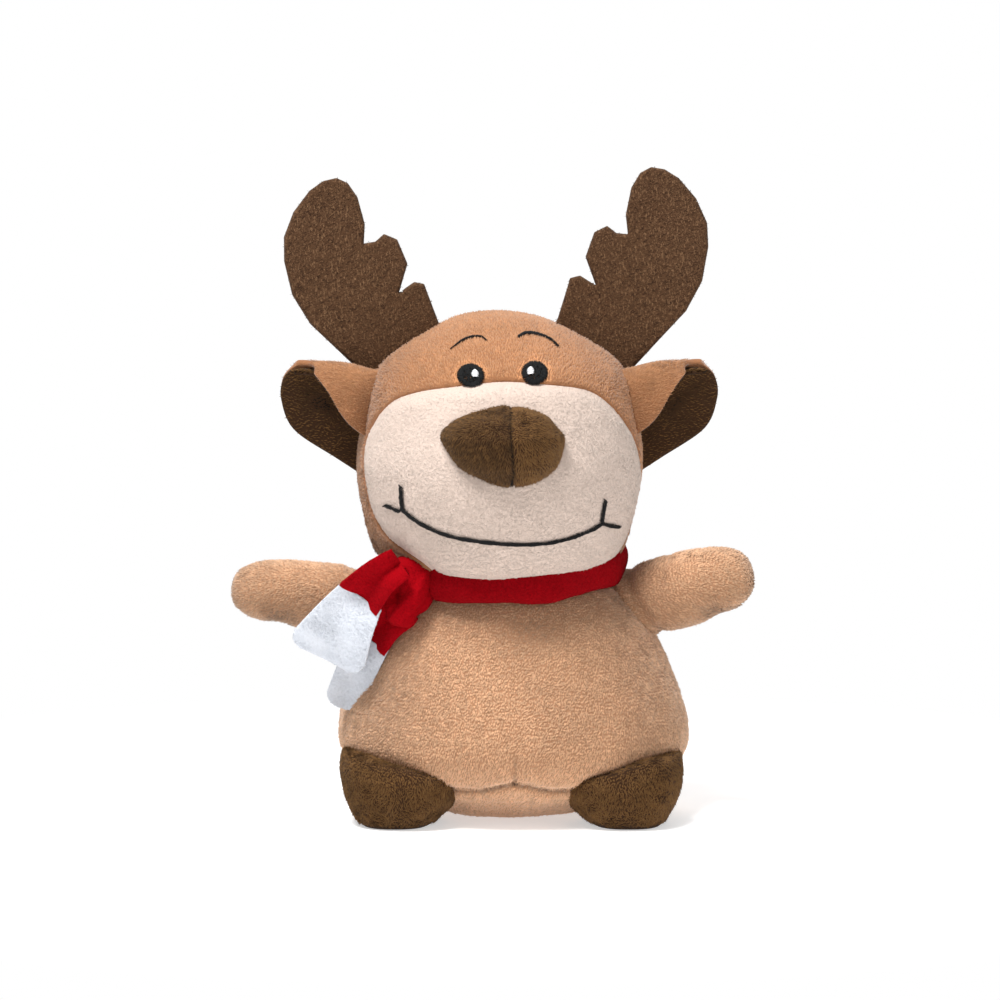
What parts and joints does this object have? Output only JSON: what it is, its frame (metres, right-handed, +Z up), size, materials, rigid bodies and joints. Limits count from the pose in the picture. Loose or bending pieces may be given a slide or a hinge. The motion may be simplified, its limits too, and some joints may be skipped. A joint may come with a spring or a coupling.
{
  "type": "stuffed toy reindeer",
  "caption": "Seated plush reindeer with flat felt antlers, cupped two-ply ears, a pale bulging muzzle, sewn nose, short arms, brown feet and a crossed red fleece scarf with pale ends.",
  "frame": {"origin": "on the ground, under the middle of the toy's bounding box", "axes": "+Z is up through the head, the face looks along -Y, and +X is the viewer's right"},
  "size_m": [0.1406, 0.0888, 0.1759],
  "materials": {
    "tan_plush": "short velvet pile plush, tan",
    "crown_plush": "short velvet pile plush, orange tan",
    "cream_plush": "short velvet pile plush, pinkish cream",
    "brown_plush": "short velvet pile plush, dark brown",
    "brown_felt": "pressed felt, heathered brown",
    "red_fleece": "matt red fleece",
    "pale_fleece": "matt white fleece",
    "black_thread": "black rayon embroidery",
    "white_thread": "white rayon embroidery",
    "fibre_fill": "white polyester fibre"
  },
  "bodies": {
    "torso": {"torso_front_panel": "tan_plush", "torso_back_panel": "tan_plush", "base_panel": "tan_plush", "torso_filling": "fibre_fill", "left_foot_cover": "brown_plush", "right_foot_cover": "brown_plush", "left_foot_filling": "fibre_fill", "right_foot_filling": "fibre_fill", "scarf_neck_band": "red_fleece", "scarf_crossing": "red_fleece"},
    "head": {"forehead_panel": "crown_plush", "head_back_panel": "crown_plush", "muzzle_panel": "cream_plush", "head_filling": "fibre_fill", "nose_left_half": "brown_plush", "nose_right_half": "brown_plush", "nose_filling": "fibre_fill", "left_eye": "black_thread", "right_eye": "black_thread", "left_eye_highlight": "white_thread", "right_eye_highlight": "white_thread", "left_brow": "black_thread", "right_brow": "black_thread", "mouth_line": "black_thread"},
    "left_arm": {"left_arm_cover": "tan_plush", "left_arm_filling": "fibre_fill"},
    "right_arm": {"right_arm_cover": "tan_plush", "right_arm_filling": "fibre_fill"},
    "left_ear": {"left_ear_back": "tan_plush", "left_ear_lining": "brown_plush"},
    "right_ear": {"right_ear_back": "tan_plush", "right_ear_lining": "brown_plush"},
    "left_antler": {"left_antler": "brown_felt"},
    "right_antler": {"right_antler": "brown_felt"},
    "scarf_front": {"scarf_front_tail": "red_fleece", "scarf_front_end": "pale_fleece"},
    "scarf_rear": {"scarf_rear_tail": "red_fleece", "scarf_rear_end": "pale_fleece"}
  },
  "joints": [
    {"name": "neck_turn", "type": "hinge", "parent": "torso", "child": "head", "pos_m": [0.00136, 0.00552, 0.0658], "axis": [0, 0, 1], "range_deg": [-20, 20], "stiffness_Nm_per_rad": 0.08},
    {"name": "left_shoulder", "type": "hinge", "parent": "torso", "child": "left_arm", "pos_m": [-0.0296, 0.00752, 0.057], "axis": [0, 1, 0], "range_deg": [-20, 30], "stiffness_Nm_per_rad": 0.03},
    {"name": "right_shoulder", "type": "hinge", "parent": "torso", "child": "right_arm", "pos_m": [0.03614, 0.00752, 0.057], "axis": [0, -1, 0], "range_deg": [-20, 30], "stiffness_Nm_per_rad": 0.03},
    {"name": "left_ear_flop", "type": "hinge", "parent": "head", "child": "left_ear", "pos_m": [-0.03563, 0.00455, 0.1068], "axis": [0.1903, 0.005, 0.9817], "range_deg": [-25, 25], "stiffness_Nm_per_rad": 0.01},
    {"name": "right_ear_flop", "type": "hinge", "parent": "head", "child": "right_ear", "pos_m": [0.03834, 0.00649, 0.1068], "axis": [-0.1903, -0.005, 0.9817], "range_deg": [-25, 25], "stiffness_Nm_per_rad": 0.01},
    {"name": "left_antler_flex", "type": "hinge", "parent": "head", "child": "left_antler", "pos_m": [-0.02387, 0.00586, 0.12677], "axis": [0.7688, 0.0201, 0.6392], "range_deg": [-20, 20], "stiffness_Nm_per_rad": 0.03},
    {"name": "right_antler_flex", "type": "hinge", "parent": "head", "child": "right_antler", "pos_m": [0.02653, 0.00718, 0.12677], "axis": [-0.7688, -0.0201, 0.6392], "range_deg": [-20, 20], "stiffness_Nm_per_rad": 0.03},
    {"name": "scarf_front_lift", "type": "hinge", "parent": "torso", "child": "scarf_front", "pos_m": [-0.02538, -0.0234, 0.07221], "axis": [-0.6712, 0, 0.7413], "range_deg": [0, 45], "stiffness_Nm_per_rad": 0.02},
    {"name": "scarf_rear_swing", "type": "hinge", "parent": "torso", "child": "scarf_rear", "pos_m": [-0.02317, -0.01561, 0.0571], "axis": [0, 1, 0], "range_deg": [0, 20], "stiffness_Nm_per_rad": 0.02}
  ]
}
